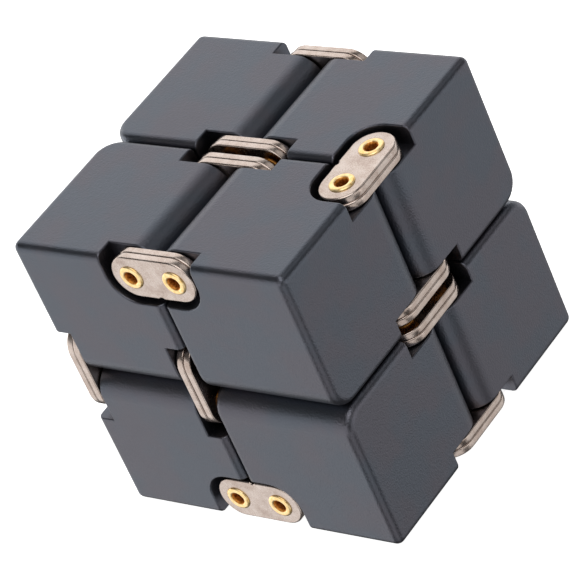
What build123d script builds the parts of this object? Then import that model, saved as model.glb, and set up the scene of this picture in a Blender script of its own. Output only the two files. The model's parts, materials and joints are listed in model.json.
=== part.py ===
from build123d import *

import os
from dataclasses import dataclass

# Eight blocks hinged in a closed ring, folded up as a cube that stands on z = 0.
# The origin is the middle of the cube's underside. +Y is the back, +X the right-hand side.

# Driving dimensions, in millimetres
cube_edge = 40.0  # the closed cube, from face to face
block_gap = 0.30  # air between two neighbouring blocks
barrel_radius = 3.0  # the rounded edges that a block turns on, and how deep each axle lies
edge_radius = 0.95  # every other edge of a block
lip_radius = 0.20  # rounding round the mouth of a pocket

plate_thickness = 1.0
plate_half_width = 2.90
plate_edge_break = 0.12
plate_recess = 0.45  # from a block's end face down to its link plates
nick_radius = 0.40  # small notch in the middle of a plate's inner long edge
nick_depth = 0.20

pocket_depth = 2.60
pocket_clearance = 0.70  # room round the end of a link plate

tube_radius = 1.15
tube_hole_radius = 0.80
head_radius = 1.58
head_height = 0.40
running_clearance = 0.05  # between a tube rivet and the bore it turns in
plate_fit = 0.01  # between a tube rivet and the plates it clamps

# Worked out from them
half_cube = cube_edge / 2
half_gap = block_gap / 2
block_edge = half_cube - half_gap
block_offset = half_gap + block_edge / 2
pivot_from_outside = half_cube - barrel_radius
pivot_from_middle = half_gap + barrel_radius
pivot_pitch = 2 * pivot_from_middle
pocket_radius = plate_half_width + pocket_clearance
grip = block_edge - 2 * plate_recess
cube_centre = Vector(0, 0, half_cube)

right = Vector(1, 0, 0)
back = Vector(0, 1, 0)
up = Vector(0, 0, 1)
left = -right
front = -back
down = -up


@dataclass
class Hinge:
    """One hinge of the ring: two parallel axles, with a stack of link plates at each end."""

    name: str
    run: Vector  # along the axles, from the middle of the cube to its outside
    outward: Vector  # out of the face that the hinge lies in
    across: Vector  # from one block to the other
    far_end: str  # what the outer end of the hinge is called

    def pivot(self, side, distance):
        """A point on the axle of one side (-1 or 1), at a distance from the middle of the cube."""
        sideways = self.across * (side * pivot_from_middle)
        return cube_centre + self.outward * pivot_from_outside + sideways + self.run * distance

    def ends(self):
        """Each end's name, its distance from the middle, and the direction out of that end."""
        yield "middle", half_gap, -self.run
        yield self.far_end, half_cube, self.run


hinges = [
    Hinge("top_front", run=front, outward=up, across=right, far_end="front"),
    Hinge("top_back", run=back, outward=up, across=right, far_end="back"),
    Hinge("bottom_front", run=front, outward=down, across=right, far_end="front"),
    Hinge("bottom_back", run=back, outward=down, across=right, far_end="back"),
    Hinge("right_upper", run=up, outward=right, across=back, far_end="top"),
    Hinge("right_lower", run=down, outward=right, across=back, far_end="bottom"),
    Hinge("front_left", run=left, outward=front, across=up, far_end="left"),
    Hinge("back_left", run=left, outward=back, across=up, far_end="left"),
]

blocks = {
    f"block_{level}_{depth}_{side}": (x, y, z)
    for level, z in (("upper", up), ("lower", down))
    for depth, y in (("front", front), ("back", back))
    for side, x in (("left", left), ("right", right))
}


def straight_edge(edges, run, corner):
    """The straight edge along run that lies furthest towards corner."""
    parallel = edges.filter_by(GeomType.LINE).filter_by(run)
    return parallel.sort_by(lambda edge: edge.center().dot(corner))[-1]


def outline(faces):
    """The edges that only one of these faces has: the outline of the patch that they make."""
    edges = [edge for face in faces for edge in face.edges()]
    return ShapeList(edge for edge in edges if edges.count(edge) == 1)


def finish_and_write(piece, name):
    """Labels a finished piece and writes it as its own file."""
    piece.part.label = name
    export_step(piece.part, f"parts/{name}.step")


def make_block(x, y, z):
    """One block. x, y and z point from the middle of the cube out through this block."""
    out_of_block = x + y + z
    centre = cube_centre + out_of_block * block_offset

    def inside_skin(face):
        """Whether a flat face lies deeper than the six outer sides, as a pocket's walls do."""
        depth = block_edge / 2 - abs((face.center() - centre).dot(face.normal_at()))
        return depth > edge_radius

    with BuildPart(Plane(origin=centre)) as block:
        Box(block_edge, block_edge, block_edge)
        # three barrel edges, none meeting another, each between an outer and an inner face
        barrels = [
            straight_edge(block.edges(), Axis.X, y - z),
            straight_edge(block.edges(), Axis.Y, z - x),
            straight_edge(block.edges(), Axis.Z, x - y),
        ]
        fillet(barrels, barrel_radius)
        barrel_faces = block.faces().filter_by(GeomType.CYLINDER)
        seams = barrel_faces.edges().filter_by(GeomType.LINE)
        fillet(block.edges() - seams, edge_radius)

        own_axles = []
        for hinge in hinges:
            if out_of_block.dot(hinge.run) < 0 or out_of_block.dot(hinge.outward) < 0:
                continue
            side = 1 if out_of_block.dot(hinge.across) > 0 else -1
            own_axles.append(Plane(origin=hinge.pivot(side, half_gap), z_dir=hinge.run))
            towards_partner = hinge.across * -side
            for _, distance, out_of_end in hinge.ends():
                mouth = Plane(
                    origin=hinge.pivot(side, distance),
                    x_dir=hinge.outward,
                    z_dir=hinge.outward.cross(towards_partner),
                )
                # open to the outer face and to the partner, rounded about the axle
                reach = barrel_radius + edge_radius
                with BuildSketch(mouth):
                    with BuildLine():
                        CenterArc((0, 0), pocket_radius, 180, 90)
                        Polyline(
                            (0, -pocket_radius),
                            (reach, -pocket_radius),
                            (reach, reach),
                            (-pocket_radius, reach),
                            (-pocket_radius, 0),
                        )
                    make_face()
                extrude(amount=pocket_depth, dir=-out_of_end, mode=Mode.SUBTRACT)

        flat_walls = block.faces().filter_by(GeomType.PLANE).filter_by(inside_skin)
        cylinders = block.faces().filter_by(GeomType.CYLINDER)
        round_walls = cylinders.filter_by(lambda face: abs(face.radius - pocket_radius) < plate_fit)
        fillet(outline(flat_walls + round_walls), lip_radius)

        for axle in own_axles:
            with BuildSketch(axle):
                Circle(tube_radius + running_clearance)
            extrude(amount=block_edge, mode=Mode.SUBTRACT)
    return block


def make_plate(hinge, distance, out_of_end, depth):
    """A link plate whose outer face lies at a depth below the end of the hinge."""
    middle = (hinge.pivot(-1, distance) + hinge.pivot(1, distance)) * 0.5
    outer_face = Plane(
        origin=middle - out_of_end * depth,
        x_dir=hinge.across,
        z_dir=hinge.across.cross(hinge.outward),
    )
    with BuildPart() as plate:
        with BuildSketch(outer_face):
            SlotCenterToCenter(pivot_pitch, 2 * plate_half_width)
            with Locations((0, nick_depth - plate_half_width - nick_radius)):
                Circle(nick_radius, mode=Mode.SUBTRACT)
        extrude(amount=plate_thickness, dir=-out_of_end)
        flats = plate.faces().filter_by(Axis((0, 0, 0), hinge.run))
        fillet(flats.edges(), plate_edge_break)
        with BuildSketch(outer_face):
            with Locations((-pivot_pitch / 2, 0), (pivot_pitch / 2, 0)):
                Circle(tube_radius + plate_fit)
        extrude(amount=plate_thickness, dir=-out_of_end, mode=Mode.SUBTRACT)
    return plate


def make_rivet(hinge, side):
    """A hollow tube rivet with a rolled head at each end, clamping both stacks of plates."""
    middle = hinge.pivot(side, half_gap + block_edge / 2)
    half_grip = grip / 2
    crest_height = half_grip + head_height
    mouth_radius = head_height
    crest_radius = tube_hole_radius + mouth_radius
    rim_radius = head_radius - crest_radius
    with BuildPart() as rivet:
        with BuildSketch(Plane(origin=middle, x_dir=hinge.outward, z_dir=hinge.across)) as half:
            with BuildLine():
                Polyline((tube_hole_radius, 0), (tube_radius, 0), (tube_radius, half_grip))
                Polyline(
                    (tube_radius, half_grip),
                    (head_radius, half_grip),
                    (head_radius, crest_height - rim_radius),
                )
                CenterArc((crest_radius, crest_height - rim_radius), rim_radius, 0, 90)
                CenterArc((crest_radius, crest_height - mouth_radius), mouth_radius, 90, 90)
                Line((tube_hole_radius, crest_height - mouth_radius), (tube_hole_radius, 0))
            make_face()
        revolve(axis=Axis(middle, hinge.run))
        mirror(about=Plane(origin=middle, z_dir=hinge.run))
    return rivet


os.makedirs("parts", exist_ok=True)

for block_name, directions in blocks.items():
    finish_and_write(make_block(*directions), block_name)

for hinge in hinges:
    for side_name, side in (("first", -1), ("second", 1)):
        finish_and_write(make_rivet(hinge, side), f"{hinge.name}_{side_name}_rivet")
    for end_name, distance, out_of_end in hinge.ends():
        for layer, depth in (("outer", plate_recess), ("inner", plate_recess + plate_thickness)):
            plate = make_plate(hinge, distance, out_of_end, depth)
            finish_and_write(plate, f"{hinge.name}_{end_name}_{layer}_plate")
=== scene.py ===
"""Folding fidget cube: black anodised blocks, nickel-plated links and rolled brass tube rivets.

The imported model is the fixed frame. The blocks keep their modelled shape and get a bead-blasted,
anodised finish. Every link plate and tube rivet is a finer piece that stands for its modelled one,
with the small marks that stamping and riveting leave.
"""

import json
import logging
import math
import random
from collections.abc import Callable, Iterable
from dataclasses import dataclass, field
from enum import Enum

import bmesh
import bpy
from mathutils import Matrix, Vector


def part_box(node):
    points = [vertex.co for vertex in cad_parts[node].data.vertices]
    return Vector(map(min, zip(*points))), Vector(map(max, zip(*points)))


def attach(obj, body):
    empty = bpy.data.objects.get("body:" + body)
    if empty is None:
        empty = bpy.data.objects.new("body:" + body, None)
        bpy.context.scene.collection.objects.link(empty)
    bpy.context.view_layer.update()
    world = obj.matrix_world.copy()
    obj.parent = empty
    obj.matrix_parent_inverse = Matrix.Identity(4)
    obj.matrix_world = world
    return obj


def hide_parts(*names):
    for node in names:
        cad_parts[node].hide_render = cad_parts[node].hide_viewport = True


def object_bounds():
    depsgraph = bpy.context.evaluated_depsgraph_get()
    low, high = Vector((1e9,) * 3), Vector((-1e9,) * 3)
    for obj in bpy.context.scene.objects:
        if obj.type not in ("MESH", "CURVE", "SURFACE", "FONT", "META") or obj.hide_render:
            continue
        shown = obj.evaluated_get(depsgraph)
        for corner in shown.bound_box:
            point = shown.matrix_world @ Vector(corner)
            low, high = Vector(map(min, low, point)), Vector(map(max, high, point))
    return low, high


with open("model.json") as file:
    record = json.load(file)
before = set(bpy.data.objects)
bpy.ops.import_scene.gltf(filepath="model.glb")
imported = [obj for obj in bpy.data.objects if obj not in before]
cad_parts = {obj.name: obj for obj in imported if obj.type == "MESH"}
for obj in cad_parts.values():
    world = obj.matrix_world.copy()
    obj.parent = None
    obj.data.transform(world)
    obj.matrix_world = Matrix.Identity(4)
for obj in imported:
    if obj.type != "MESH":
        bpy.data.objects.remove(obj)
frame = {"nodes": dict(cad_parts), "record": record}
CAD_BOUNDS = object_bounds()
CUBE_MIDDLE = (CAD_BOUNDS[0] + CAD_BOUNDS[1]) / 2

LOG = logging.getLogger("fidget_cube")
MM = 0.001
FAINTEST = 0.3  # a random fault has at least this share of its full size

Colour = tuple[float, float, float, float]
Ring = list[bmesh.types.BMVert]
RimPoint = tuple[float, float, float, float]  # u, v, and the outward normal's u and v
HeadPoint = tuple[float, float, float, float]  # radius, height, share of waves, share of splits


class Slot(Enum):
    """The record's material slots."""

    BLOCK = "anodised_block"
    PLATE = "steel_plate"
    RIVET = "brass_rivet"


class Run(Enum):
    """The direction that a hinge's axles run in, as the index of a row axis."""

    X = 0
    Y = 1
    Z = 2

    @property
    def vector(self) -> Vector:
        """The unit vector along the run."""
        return Vector(float(self.value == i) for i in range(3))


class RivetZone(Enum):
    """A stretch of a rivet with a finish of its own, as the number of its material."""

    OUTER_HEAD = 0
    BORE = 1
    INNER_HEAD = 2


# ---------------------------------------------------------------- helpers


def linear(hex_colour: str) -> Colour:
    """Turns an sRGB hex colour into linear RGBA.

    Args:
        hex_colour: Such as "#8a7f6b".

    Returns:
        Red, green, blue and an alpha of 1, as the shader sockets take them.
    """
    channels = (int(hex_colour[i : i + 2], 16) / 255 for i in (1, 3, 5))
    red, green, blue = (
        c / 12.92 if c <= 0.04045 else ((c + 0.055) / 1.055) ** 2.4 for c in channels
    )
    return red, green, blue, 1.0


def add_node(
    tree: bpy.types.NodeTree,
    kind: str,
    settings: dict[str | int, object] | None = None,
    links: dict[str | int, bpy.types.NodeSocket] | None = None,
) -> bpy.types.Node:
    """Adds one shader node with its settings and links.

    Args:
        tree: The material's or world's node tree.
        kind: Blender's name for the node type.
        settings: Values by socket name, socket number, or property name.
        links: Output sockets by the name or number of the input that they feed.

    Returns:
        The new node.
    """
    node = tree.nodes.new(kind)
    for name, value in (settings or {}).items():
        if isinstance(name, int) or name in node.inputs:
            node.inputs[name].default_value = value
        else:
            setattr(node, name, value)
    for name, socket in (links or {}).items():
        tree.links.new(socket, node.inputs[name])
    return node


def add_ramp(
    tree: bpy.types.NodeTree,
    factor: bpy.types.NodeSocket,
    stops: Iterable[tuple[float, str]],
) -> bpy.types.NodeSocket:
    """Adds a colour ramp.

    Args:
        tree: The node tree.
        factor: What drives the ramp.
        stops: Positions from 0 to 1 with their hex colours, in order.

    Returns:
        The ramp's colour output.
    """
    node = add_node(tree, "ShaderNodeValToRGB", links={"Fac": factor})
    elements = node.color_ramp.elements
    ready_made = len(elements)
    for index, (position, colour) in enumerate(stops):
        stop = elements[index] if index < ready_made else elements.new(position)
        stop.position = position
        stop.color = linear(colour)
    return node.outputs["Color"]


def new_material(name: str) -> tuple[bpy.types.Material, bpy.types.Node]:
    """Makes an empty node material.

    Args:
        name: The material's name.

    Returns:
        The material and its Principled shader, joined to the output.
    """
    material = bpy.data.materials.new(name)
    material.use_nodes = True
    return material, material.node_tree.nodes["Principled BSDF"]


def dress_metal(
    material: bpy.types.Material,
    colour: bpy.types.NodeSocket,
    sheen: bpy.types.NodeSocket,
    bump: bpy.types.NodeSocket,
) -> None:
    """Makes a material a metal.

    Args:
        material: The material, whose Principled shader this feeds.
        colour: The metal's colour.
        sheen: Its roughness.
        bump: Its bumped normal.
    """
    tree = material.node_tree
    shader = tree.nodes["Principled BSDF"]
    shader.inputs["Metallic"].default_value = 1.0
    tree.links.new(colour, shader.inputs["Base Color"])
    tree.links.new(sheen, shader.inputs["Roughness"])
    tree.links.new(bump, shader.inputs["Normal"])


def per_mm(size_mm: float) -> float:
    """The texture scale that gives a pattern of this size, in millimetres."""
    return 1 / (size_mm * MM)


def bridge(mesh: bmesh.types.BMesh, lower: Ring, upper: Ring) -> list[bmesh.types.BMFace]:
    """Joins two closed rings of the same length with a band of faces.

    Args:
        mesh: The mesh that holds both rings.
        lower: The first ring.
        upper: The second ring.

    Returns:
        The band's faces.
    """
    following = zip(lower[1:] + lower[:1], upper[1:] + upper[:1], strict=True)
    return [
        mesh.faces.new((a, b, d, c))
        for (a, c), (b, d) in zip(zip(lower, upper, strict=True), following, strict=True)
    ]


def close_rings(mesh: bmesh.types.BMesh, rings: list[Ring]) -> None:
    """Joins each ring to the next, as the side of a tube or the rim of a plate.

    Args:
        mesh: The mesh that holds the rings.
        rings: Rings of the same length, in order.
    """
    for lower, upper in zip(rings, rings[1:]):
        bridge(mesh, lower, upper)


# ---------------------------------------------------------------- finishes


@dataclass(frozen=True)
class BlastedAnodisedAluminium:
    """6061 aluminium, machined, bead blasted and then anodised black.

    The eye sees a soft, even sheen with no tool marks. The dyed oxide turns the metal's mirror into
    a dark grey one, and the dimples of the beads break it into a fine speckle wherever the surface
    curves away from the light.
    """

    bluish: str = "#555961"
    purplish: str = "#5a5960"
    roughness: float = 0.34
    bead_mm: float = 0.21  # real dimples are 0.05 to 0.1 mm, drawn coarser so that they show
    cloud_mm: float = 6.0  # slow change of the dye and the sheen across a face
    dimple_mm: float = 0.052
    bump_strength: float = 0.9
    sheen_change: float = 0.015  # either side of the roughness

    def material(self) -> bpy.types.Material:
        """Builds the material.

        Returns:
            The finished material.
        """
        material, _ = new_material("blasted_anodised_aluminium")
        tree = material.node_tree
        place = add_node(tree, "ShaderNodeTexCoord").outputs["Object"]
        beads = add_node(
            tree,
            "ShaderNodeTexNoise",
            {"Scale": per_mm(self.bead_mm), "Detail": 2.0, "Roughness": 0.6},
            {"Vector": place},
        ).outputs["Fac"]
        clouds = add_node(
            tree,
            "ShaderNodeTexNoise",
            {"Scale": per_mm(self.cloud_mm), "Detail": 3.0, "Roughness": 0.5},
            {"Vector": place},
        ).outputs["Fac"]
        sheen = add_node(
            tree,
            "ShaderNodeMapRange",
            {
                "From Min": 0.3,
                "From Max": 0.7,
                "To Min": self.roughness - self.sheen_change,
                "To Max": self.roughness + self.sheen_change,
            },
            {"Value": clouds},
        ).outputs["Result"]
        bump = add_node(
            tree,
            "ShaderNodeBump",
            {"Strength": self.bump_strength, "Distance": self.dimple_mm * MM},
            {"Height": beads},
        ).outputs["Normal"]
        colour = add_ramp(tree, clouds, ((0.42, self.bluish), (0.60, self.purplish)))
        dress_metal(material, colour, sheen, bump)
        return material


@dataclass(frozen=True)
class NickelPlatedSteel:
    """Mild steel strip, stamped, tumbled and nickel plated.

    The eye sees a warm grey satin face with the faint clouding of tumbling, a fine grain on the
    sheared rim, and a crisp reflection where an edge rolls over.
    """

    worn: str = "#aa988d"
    clean: str = "#cdbfb6"
    roughness: float = 0.22
    grain_mm: float = 0.13  # real tumbling marks are 0.05 mm, drawn coarser so that they show
    cloud_mm: float = 2.0
    mark_depth_mm: float = 0.014
    bump_strength: float = 0.6
    grain_share: float = 0.6  # how far the grain changes the tone, against the clouds
    sheen_drop: float = 0.05  # below the roughness, where tumbling polished most
    sheen_rise: float = 0.10  # above it, where it polished least

    def material(self) -> bpy.types.Material:
        """Builds the material.

        Returns:
            The finished material.
        """
        material, _ = new_material("nickel_plated_steel")
        tree = material.node_tree
        place = add_node(tree, "ShaderNodeTexCoord").outputs["Object"]
        grain = add_node(
            tree,
            "ShaderNodeTexNoise",
            {"Scale": per_mm(self.grain_mm), "Detail": 3.0, "Roughness": 0.6},
            {"Vector": place},
        ).outputs["Fac"]
        clouds = add_node(
            tree,
            "ShaderNodeTexNoise",
            {"Scale": per_mm(self.cloud_mm), "Detail": 5.0, "Roughness": 0.6},
            {"Vector": place},
        ).outputs["Fac"]
        tone = add_node(
            tree,
            "ShaderNodeMath",
            {"operation": "MULTIPLY_ADD", 1: self.grain_share},
            {0: grain, 2: clouds},
        ).outputs["Value"]
        sheen = add_node(
            tree,
            "ShaderNodeMapRange",
            {
                "From Min": 0.35,
                "From Max": 0.65,
                "To Min": self.roughness - self.sheen_drop,
                "To Max": self.roughness + self.sheen_rise,
            },
            {"Value": clouds},
        ).outputs["Result"]
        bump = add_node(
            tree,
            "ShaderNodeBump",
            {"Strength": self.bump_strength, "Distance": self.mark_depth_mm * MM},
            {"Height": grain},
        ).outputs["Normal"]
        colour = add_ramp(tree, tone, ((0.62, self.worn), (0.98, self.clean)))
        dress_metal(material, colour, sheen, bump)
        return material


@dataclass(frozen=True)
class Brass:
    """Cartridge brass tube.

    The eye sees a bright gold ring where the riveting die burnished the rolled end. Inside the
    hole, the drawn, never polished bore is rougher, and its darker amber colour is painted shade of
    the hole. Between the middle plates the brass is a darker brown: painted shade of the gap there.
    """

    name: str
    # the darker of the two smear tones; the bore's and the inner head's tones are darkened as
    # painted shade
    darker_tone: str
    bright: str
    roughness: float
    mark_mm: float
    mark_depth_mm: float = 0.005
    bump_strength: float = 0.35
    sheen_drop: float = 0.04
    sheen_rise: float = 0.06

    def material(self) -> bpy.types.Material:
        """Builds the material.

        Returns:
            The finished material.
        """
        material, _ = new_material(self.name)
        tree = material.node_tree
        place = add_node(tree, "ShaderNodeTexCoord").outputs["Object"]
        smears = add_node(
            tree,
            "ShaderNodeTexNoise",
            {"Scale": per_mm(self.mark_mm), "Detail": 3.0, "Roughness": 0.5},
            {"Vector": place},
        ).outputs["Fac"]
        sheen = add_node(
            tree,
            "ShaderNodeMapRange",
            {
                "From Min": 0.35,
                "From Max": 0.65,
                "To Min": self.roughness - self.sheen_drop,
                "To Max": self.roughness + self.sheen_rise,
            },
            {"Value": smears},
        ).outputs["Result"]
        bump = add_node(
            tree,
            "ShaderNodeBump",
            {"Strength": self.bump_strength, "Distance": self.mark_depth_mm * MM},
            {"Height": smears},
        ).outputs["Normal"]
        colour = add_ramp(tree, smears, ((0.34, self.darker_tone), (0.60, self.bright)))
        dress_metal(material, colour, sheen, bump)
        return material


RIVET_BRASSES = {
    RivetZone.OUTER_HEAD: Brass("burnished_brass", "#f4ca82", "#ffe4ae", 0.33, 0.45),
    # the bore's darker amber colour is painted shade of the hole
    RivetZone.BORE: Brass("bore_brass_painted_shade", "#b8702c", "#e8a550", 0.55, 0.25),
    # the inner head's dark brown colour is painted shade of the gap between the middle plates
    RivetZone.INNER_HEAD: Brass("inner_head_brass_painted_shade", "#7a4e26", "#b07e3c", 0.48, 0.30),
}


@dataclass(frozen=True)
class PaperSweep:
    """Matt white background paper, lit evenly: it shows almost no shadow."""

    colour: str = "#f8f8f8"
    glow: float = 0.95

    def material(self) -> bpy.types.Material:
        """Builds the material.

        Returns:
            The finished material.
        """
        material, shader = new_material("paper_sweep")
        shader.inputs["Base Color"].default_value = linear(self.colour)
        shader.inputs["Roughness"].default_value = 0.9
        shader.inputs["Emission Color"].default_value = linear(self.colour)
        shader.inputs["Emission Strength"].default_value = self.glow
        return material


# ---------------------------------------------------------------- pieces


@dataclass
class Block:
    """One of the cube's blocks, which keeps its modelled shape."""

    node: str

    def dress(self, finish: bpy.types.Material) -> None:
        """Gives the block its finish.

        Args:
            finish: The anodised material.
        """
        piece = frame["nodes"][self.node]
        piece.data.materials.clear()
        piece.data.materials.append(finish)
        LOG.info("%s: %s", self.node, finish.name)


@dataclass
class HingePiece:
    """A plate or a rivet of one hinge, which stands for its modelled node."""

    node: str
    body: str
    run: Run
    centre: Vector = field(init=False)
    extent: Vector = field(init=False)

    def __post_init__(self) -> None:
        """Takes the piece's place and size from the modelled node."""
        low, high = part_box(self.node)
        self.centre = (low + high) / 2
        self.extent = high - low

    def install(
        self, mesh: bmesh.types.BMesh, finishes: list[bpy.types.Material], slot: Slot
    ) -> None:
        """Turns a mesh into a piece on its body and hides the modelled node.

        Args:
            mesh: The finished mesh, which this frees.
            finishes: The materials, in the order of the faces' material numbers.
            slot: The record's slot for the piece; not used.
        """
        bmesh.ops.recalc_face_normals(mesh, faces=mesh.faces)
        data = bpy.data.meshes.new(f"{self.node}_shown")
        mesh.to_mesh(data)
        mesh.free()
        for finish in finishes:
            data.materials.append(finish)
        piece = bpy.data.objects.new(data.name, data)
        bpy.context.scene.collection.objects.link(piece)
        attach(piece, self.body)
        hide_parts(self.node)
        LOG.info("%s: %d faces", piece.name, len(data.polygons))


@dataclass
class LinkPlate(HingePiece):
    """One stamped link plate.

    The die rolls one edge over more than the other, the outline is never quite true, and the plate
    sits a hair off its place because its holes are a little larger than the tubes.
    """

    die_roll_mm: float = 0.23
    burr_mm: float = 0.15
    bulge_mm: float = 0.018
    waviness_mm: float = 0.012
    play_mm: float = 0.05
    hole_mm: float = 1.25
    nick_radius_mm: float = 0.40
    nick_depth_mm: float = 0.20
    nick_mouth_mm: float = 0.12  # how far the nick's rounded shoulders reach along the edge
    nick_ease: float = 0.4  # how far the normals ease back to the edge's at the nick's shoulders
    nick_steps: int = 8
    wave_counts: tuple[int, ...] = (2, 5, 9)  # waves round the outline
    end_steps: int = 26
    straight_steps: int = 12
    edge_steps: int = 5
    hole_steps: int = 40

    def axes(self) -> tuple[Vector, Vector, Vector]:
        """The plate's own directions.

        Returns:
            Unit vectors along it, across it to the outside of the cube, and through it, away from
            the middle of the cube.
        """
        extent = self.extent
        others = [axis for axis in range(3) if axis != self.run.value]
        along_axis = max(others, key=lambda axis: extent[axis])
        out_axis = next(axis for axis in others if axis != along_axis)
        away = self.centre - CUBE_MIDDLE
        out = Run(out_axis).vector * math.copysign(1, away[out_axis])
        through = self.run.vector * math.copysign(1, away[self.run.value])
        return Run(along_axis).vector, out, through

    def half_sizes(self) -> tuple[float, float]:
        """Half of the way from one hole to the other, and half of the plate's width.

        Returns:
            Both in metres.
        """
        along, out, _ = self.axes()
        half_width = abs(self.extent.dot(out)) / 2
        return abs(self.extent.dot(along)) / 2 - half_width, half_width

    def outline(self, dice: random.Random) -> list[RimPoint]:
        """The plate's outline with its nick, anticlockwise.

        Args:
            dice: The seeded generator, for the waviness.

        Returns:
            Points with their outward normals, in metres.
        """
        reach, half_width = self.half_sizes()
        points: list[RimPoint] = []
        for end, first in ((1, -90), (-1, 90)):
            for step in range(self.end_steps + 1):
                turn = math.radians(first + 180 * step / self.end_steps)
                normal = (math.cos(turn), math.sin(turn))
                points.append(
                    (end * reach + half_width * normal[0], half_width * normal[1], *normal)
                )
            for step in range(1, self.straight_steps):
                u = end * reach * (1 - 2 * step / self.straight_steps)
                if end > 0:
                    points.append((u, half_width, 0.0, 1.0))
                elif abs(u) > (self.nick_radius_mm + self.nick_mouth_mm) * MM:
                    points.append((u, -half_width, 0.0, -1.0))
                elif step == self.straight_steps // 2:
                    points.extend(self.nick(half_width))
        waves = [
            (dice.uniform(FAINTEST, 1.0) * self.waviness_mm * MM, count, dice.uniform(0, math.tau))
            for count in self.wave_counts
        ]
        wavy: list[RimPoint] = []
        for index, (u, v, nu, nv) in enumerate(points):
            turn = math.tau * index / len(points)
            inset = sum(
                size * (1 + math.cos(count * turn + phase)) / (2 * len(waves))
                for size, count, phase in waves
            )
            wavy.append((u - nu * inset, v - nv * inset, nu, nv))
        return wavy

    def nick(self, half_width: float) -> list[RimPoint]:
        """The small round notch in the middle of the inner long edge.

        Args:
            half_width: Half of the plate's width.

        Returns:
            Points with their outward normals, in metres.
        """
        radius = self.nick_radius_mm * MM
        depth = self.nick_depth_mm * MM
        half_angle = math.acos(1 - depth / radius)
        notch: list[RimPoint] = []
        for step in range(self.nick_steps + 1):
            turn = half_angle * (2 * step / self.nick_steps - 1)
            u = radius * math.sin(turn)
            v = -half_width + depth - radius * (1 - math.cos(turn))
            lean = math.sin(turn) * (1 - abs(turn) / half_angle * self.nick_ease)
            notch.append((u, v, -lean, -math.sqrt(1 - lean**2)))
        return notch

    def rim_profile(self) -> list[tuple[float, float]]:
        """The rim's section, from the burr's side to the rolled one.

        Returns:
            How far in from the outline and how high above the inner face each point is, in metres.
        """
        thickness = self.extent[self.run.value]
        roll, burr = self.die_roll_mm * MM, self.burr_mm * MM
        points = []
        for step in range(self.edge_steps + 1):
            turn = math.radians(90 * step / self.edge_steps)
            points.append((burr * (1 - math.sin(turn)), burr * (1 - math.cos(turn))))
        for step in range(self.edge_steps + 1):
            turn = math.radians(90 * step / self.edge_steps)
            points.append((roll * (1 - math.cos(turn)), thickness - roll * (1 - math.sin(turn))))
        bulge = self.bulge_mm * MM
        return [
            (inset + bulge * (2 * height / thickness - 1) ** 2, height) for inset, height in points
        ]

    def hole_ring(self, mesh: bmesh.types.BMesh, centre: Vector) -> Ring:
        """Adds one edge of a rivet hole.

        Args:
            mesh: The plate's mesh.
            centre: The middle of the ring.

        Returns:
            The ring's points.
        """
        along, out, _ = self.axes()
        radius = self.hole_mm * MM
        turns = [math.tau * step / self.hole_steps for step in range(self.hole_steps)]
        return [
            mesh.verts.new(centre + along * (radius * math.cos(t)) + out * (radius * math.sin(t)))
            for t in turns
        ]

    def build(self, finish: bpy.types.Material, dice: random.Random) -> None:
        """Builds the plate.

        Args:
            finish: The plated material.
            dice: The seeded generator.
        """
        along, out, through = self.axes()
        reach, _ = self.half_sizes()
        thickness = self.extent[self.run.value]
        play = self.play_mm * MM
        shift = along * dice.uniform(-play, play) + out * dice.uniform(-play, play)
        base = self.centre + shift - through * (thickness / 2)
        outline = self.outline(dice)
        mesh = bmesh.new()
        rings: list[Ring] = []
        for inset, height in self.rim_profile():
            rings.append([
                mesh.verts.new(
                    base + along * (u - nu * inset) + out * (v - nv * inset) + through * height
                )
                for u, v, nu, nv in outline
            ])
        close_rings(mesh, rings)
        bores: list[list[Ring]] = []
        for side in (-1, 1):
            pivot = base + along * (side * reach)
            bores.append([
                self.hole_ring(mesh, pivot + through * height) for height in (0.0, thickness)
            ])
            close_rings(mesh, bores[-1])
        for face in mesh.faces:
            face.smooth = True
        for level, ring in ((0, rings[0]), (-1, rings[-1])):
            loops = [ring] + [bore[level] for bore in bores]
            edges = [
                mesh.edges.get((loop[i], loop[(i + 1) % len(loop)]))
                for loop in loops
                for i in range(len(loop))
            ]
            bmesh.ops.triangle_fill(mesh, edges=edges, use_beauty=True)
        self.install(mesh, [finish], Slot.PLATE)


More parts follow.
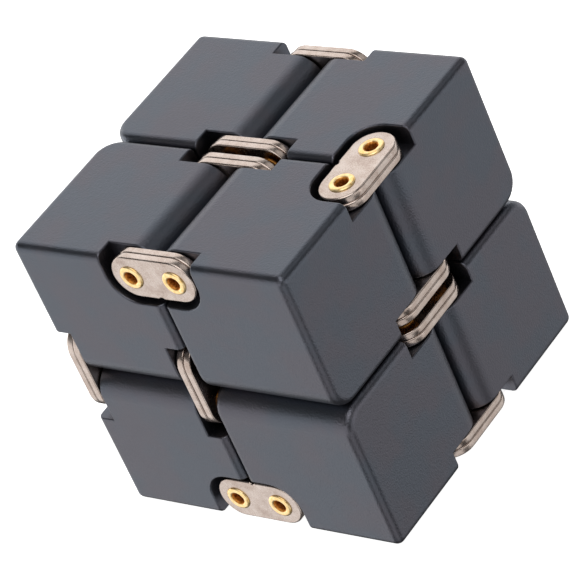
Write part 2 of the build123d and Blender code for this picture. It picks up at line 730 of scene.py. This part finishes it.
@dataclass
class TubeRivet(HingePiece):
    """One hollow tube rivet with a rolled head at each end.

    The die burnishes the outer head. The head towards the middle of the cube gets a darker brass,
    painted shade of the gap between the middle plates, and the bore a darker amber, painted shade
    of the hole.
    No rolled head is perfect: the crown rises and falls a little round the ring, and the mouth of
    some has short splits where the tube's edge was stretched.
    """

    tube_mm: float = 1.15
    hole_mm: float = 0.74
    head_height_mm: float = 0.40  # of the modelled head
    crown_height_mm: float = 0.26  # of the rolled one, which the die has flattened
    mouth_depth_mm: float = 0.45
    squareness: float = 2.3  # 2 would make the head's section a plain arc
    crown_wave_mm: float = 0.012
    split_depth_mm: float = 0.04
    split_width_deg: float = 9.0
    mouth_shade_share: float = 0.7  # share of the rounded mouth that takes the bore's darker brass, painted shade of the hole
    split_counts: tuple[int, ...] = (0, 3, 6, 9)  # one of them is drawn for each head
    split_stray: float = 0.25  # how far a split strays from an even spacing, as a share of it
    wave_counts: tuple[int, ...] = (1, 2, 3)  # waves round the crown
    bore_step_mm: float = 2.0  # from the crown down to a ring that divides the bore's long wall
    bore_rings: int = 2
    segments: int = 96
    arc_steps: int = 10

    def half_profile(self) -> list[HeadPoint]:
        """The section of one end, from the tube's outside round the head and down the hole.

        Returns:
            Radius and height from the rivet's middle, in metres, and from 0 to 1 how far each
            point takes part in the crown's waves and in the splits.
        """
        seat = self.extent[self.run.value] / 2 - self.head_height_mm * MM
        top = seat + self.crown_height_mm * MM
        rim = self.extent[(self.run.value + 1) % 3] / 2
        hole = self.hole_mm * MM
        crest = (rim + hole) / 2
        power = 2 / self.squareness
        tube = self.tube_mm * MM
        points: list[HeadPoint] = [(tube, 0.0, 0.0, 0.0), (tube, seat, 0.0, 0.0)]
        for step in range(self.arc_steps + 1):
            turn = math.radians(90 * step / self.arc_steps)
            radius = crest + (rim - crest) * abs(math.cos(turn)) ** power
            height = seat + (top - seat) * math.sin(turn) ** power
            points.append((radius, height, math.sin(turn), 0.0))
        for step in range(1, self.arc_steps + 1):
            turn = math.radians(90 * step / self.arc_steps)
            radius = crest - (crest - hole) * math.sin(turn) ** power
            height = top - self.mouth_depth_mm * MM * (1 - abs(math.cos(turn)) ** power)
            points.append((radius, height, abs(math.cos(turn)), math.sin(2 * turn)))
        points.append((hole, top - self.bore_step_mm * MM, 0.0, 0.0))
        points.append((hole, 0.0, 0.0, 0.0))
        return points

    def unevenness(self, dice: random.Random) -> Callable[[float], tuple[float, float]]:
        """Draws one head's faults.

        Args:
            dice: The seeded generator.

        Returns:
            A function from the angle round the head to how far the crown and the mouth sink there,
            in metres.
        """
        waves = [
            (dice.uniform(FAINTEST, 1.0) * self.crown_wave_mm * MM, n, dice.uniform(0, math.tau))
            for n in self.wave_counts
        ]
        count = dice.choice(self.split_counts)
        stray = self.split_stray
        splits = [
            (
                math.tau * (place + dice.uniform(-stray, stray)) / count,
                dice.uniform(FAINTEST, 1.0) * self.split_depth_mm * MM,
            )
            for place in range(count)
        ]
        width = math.radians(self.split_width_deg)

        def sinks(angle: float) -> tuple[float, float]:
            """How far the crown and the mouth sink at an angle, in metres."""
            wave = sum(size * (1 + math.cos(n * angle + phase)) for size, n, phase in waves) / 2
            split = 0.0
            for place, depth in splits:
                away = abs(math.remainder(angle - place, math.tau)) / width
                split += depth * max(0.0, 1 - away) ** 2
            return wave, split

        return sinks

    def build(self, finishes: list[bpy.types.Material], dice: random.Random) -> None:
        """Builds the rivet.

        Args:
            finishes: One brass for each zone, in the zones' order.
            dice: The seeded generator.
        """
        mesh = bmesh.new()
        across = Run((self.run.value + 1) % 3).vector
        sideways = self.run.vector.cross(across)
        profile = self.half_profile()
        rings: list[Ring] = []
        for sign, rows in ((1, profile), (-1, profile[-2:0:-1])):
            sinks = self.unevenness(dice)
            for radius, height, crown_share, split_share in rows:
                ring = []
                for index in range(self.segments):
                    angle = math.tau * index / self.segments
                    wave, split = sinks(angle)
                    level = sign * (height - wave * crown_share - split * split_share)
                    spoke = across * math.cos(angle) + sideways * math.sin(angle)
                    ring.append(
                        mesh.verts.new(self.centre + spoke * radius + self.run.vector * level)
                    )
                rings.append(ring)
        middle = len(profile)
        mouth_rows = round(self.arc_steps * self.mouth_shade_share)
        bore_rows = range(middle - self.bore_rings - mouth_rows, middle + mouth_rows)
        outer_end_first = self.centre[self.run.value] > CUBE_MIDDLE[self.run.value]
        # The bore and the inner head take darker brasses: painted shade of the hole and of the gap
        # between the middle plates.
        for row, (lower, upper) in enumerate(zip(rings, rings[1:] + rings[:1], strict=True)):
            if row in bore_rows:
                zone = RivetZone.BORE
            elif (row < middle) == outer_end_first:
                zone = RivetZone.OUTER_HEAD
            else:
                zone = RivetZone.INNER_HEAD
            for face in bridge(mesh, lower, upper):
                face.material_index = zone.value
                face.smooth = True
        self.install(mesh, finishes, Slot.RIVET)


@dataclass
class FoldingCube:
    """The whole object: every modelled node, sorted by what it is."""

    nodes: dict[str, bpy.types.Object]
    bodies: dict[str, list[str]]
    seed: int = 11

    def run_of(self, node: str) -> Run:
        """The run of the hinge that a plate or rivet belongs to, from its modelled shape.

        Args:
            node: The plate's or the rivet's name.

        Returns:
            A rivet's longest direction, or a plate's thinnest.
        """
        low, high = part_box(node)
        extent = list(high - low)
        odd_one = max(extent) if node.endswith("rivet") else min(extent)
        return Run(extent.index(odd_one))

    def body_of(self, node: str) -> str:
        """The body that a node rides on."""
        return next(body for body, members in self.bodies.items() if node in members)

    def build(self) -> None:
        """Builds and dresses every piece."""
        anodised = BlastedAnodisedAluminium().material()
        plated = NickelPlatedSteel().material()
        brasses = [RIVET_BRASSES[zone].material() for zone in RivetZone]
        for number, node in enumerate(sorted(self.nodes)):
            dice = random.Random(self.seed + number)
            if node.startswith("block"):
                Block(node).dress(anodised)
                continue
            place = (node, self.body_of(node), self.run_of(node))
            if node.endswith("rivet"):
                TubeRivet(*place).build(brasses, dice)
            else:
                LinkPlate(*place).build(plated, dice)


# ---------------------------------------------------------------- studio


@dataclass(frozen=True)
class Softbox:
    """A rectangular diffused light that faces the cube."""

    name: str
    direction: tuple[float, float, float]
    width_m: float
    height_m: float
    radiance: float
    distance_m: float = 0.8

    def build(self, aim: Vector) -> None:
        """Hangs the light.

        Args:
            aim: The point that it faces.
        """
        towards = Vector(self.direction).normalized()
        lamp = bpy.data.lights.new(self.name, "AREA")
        lamp.shape = "RECTANGLE"
        lamp.size = self.width_m
        lamp.size_y = self.height_m
        lamp.energy = self.radiance * math.pi * self.width_m * self.height_m
        holder = bpy.data.objects.new(self.name, lamp)
        holder.location = aim + towards * self.distance_m
        holder.rotation_euler = (-towards).to_track_quat("-Z", "Y").to_euler()
        holder.visible_camera = False
        bpy.context.scene.collection.objects.link(holder)
        LOG.info("%s: %.2f W", self.name, lamp.energy)


@dataclass(frozen=True)
class Camera:
    """A long lens that looks down on the front right-hand corner, tilted to one side."""

    azimuth_deg: float = 48.506
    elevation_deg: float = 33.789
    roll_deg: float = 24.471
    distance_m: float = 0.42157
    lens_mm: float = 223.9
    right_of_axis_mm: float = 0.948  # how far the cube's middle stands from the lens's axis
    above_axis_mm: float = 0.837

    def build(self, middle: Vector) -> None:
        """Sets up the camera.

        Args:
            middle: The middle of the cube.
        """
        azimuth, elevation, roll = (
            math.radians(a) for a in (self.azimuth_deg, self.elevation_deg, self.roll_deg)
        )
        back = Vector((
            math.sin(azimuth) * math.cos(elevation),
            -math.cos(azimuth) * math.cos(elevation),
            math.sin(elevation),
        ))
        level_right = Vector((math.cos(azimuth), math.sin(azimuth), 0.0))
        level_up = back.cross(level_right)
        right = level_right * math.cos(roll) - level_up * math.sin(roll)
        up = level_up * math.cos(roll) + level_right * math.sin(roll)
        offset = right * self.right_of_axis_mm * MM + up * self.above_axis_mm * MM
        place = middle - offset + back * self.distance_m
        camera = bpy.data.cameras.new("camera")
        camera.lens = self.lens_mm
        camera.clip_start = 0.01
        camera.clip_end = 10.0
        holder = bpy.data.objects.new("camera", camera)
        turn = Matrix((right, up, back)).transposed().to_4x4()
        holder.matrix_world = Matrix.Translation(place) @ turn
        bpy.context.scene.collection.objects.link(holder)
        bpy.context.scene.camera = holder


@dataclass
class Studio:
    """A white paper sweep, softboxes all round the cube and the camera."""

    ambient: float = 0.12
    floor_width_m: float = 6.0
    floor_gap_mm: float = 0.05  # under the cube's lowest point
    softboxes: tuple[Softbox, ...] = (
        Softbox("key_back_left", (-0.66, 0.60, 0.44), 1.00, 0.95, 1.30),
        Softbox("band_back_right", (0.45, 0.56, 0.70), 0.40, 0.40, 0.60),
        Softbox("overhead_front", (0.37, -0.42, 0.80), 0.66, 0.66, 1.90),
        Softbox("low_front_left", (-0.82, -0.54, -0.30), 1.10, 1.05, 1.08),
        Softbox("low_back_right", (0.62, 0.64, -0.34), 0.95, 0.75, 0.78),
        Softbox("low_front_right", (0.56, -0.61, -0.56), 0.60, 0.60, 0.80),
        Softbox("banner_front", (0.0, -1.0, -0.07), 0.66, 0.66, 1.10),
        Softbox("banner_right", (1.0, 0.0, -0.07), 0.66, 0.66, 0.95),
        Softbox("banner_back", (0.0, 1.0, -0.07), 0.66, 0.66, 1.00),
        Softbox("banner_left", (-1.0, 0.0, -0.07), 0.66, 0.66, 1.05),
        Softbox("top", (0.0, -0.02, 1.0), 0.50, 0.50, 1.20),
    )

    def floor(self) -> None:
        """Lays the paper. Glossy surfaces look past it to the softboxes, as on a glass table."""
        mesh = bmesh.new()
        bmesh.ops.create_grid(mesh, x_segments=1, y_segments=1, size=self.floor_width_m / 2)
        data = bpy.data.meshes.new("floor")
        mesh.to_mesh(data)
        mesh.free()
        sheet = bpy.data.objects.new("floor", data)
        sheet.location.z = CAD_BOUNDS[0].z - self.floor_gap_mm * MM
        sheet.visible_glossy = False
        sheet.visible_shadow = False
        data.materials.append(PaperSweep().material())
        bpy.context.scene.collection.objects.link(sheet)

    def build(self) -> None:
        """Sets up the floor, the lights, the surroundings and the camera."""
        self.floor()
        for softbox in self.softboxes:
            softbox.build(CUBE_MIDDLE)
        world = bpy.data.worlds.new("room")
        world.use_nodes = True
        world.node_tree.nodes["Background"].inputs["Color"].default_value = linear("#ffffff")
        world.node_tree.nodes["Background"].inputs["Strength"].default_value = self.ambient
        bpy.context.scene.world = world
        bpy.context.scene.view_settings.view_transform = "Standard"
        Camera().build(CUBE_MIDDLE)


def main() -> None:
    """Builds the cube and the studio."""
    logging.basicConfig(level=logging.INFO, format="%(name)s %(message)s")
    FoldingCube(frame["nodes"], frame["record"]["behaviour"]["bodies"]).build()
    Studio().build()


if __name__ == "__main__":
    main()
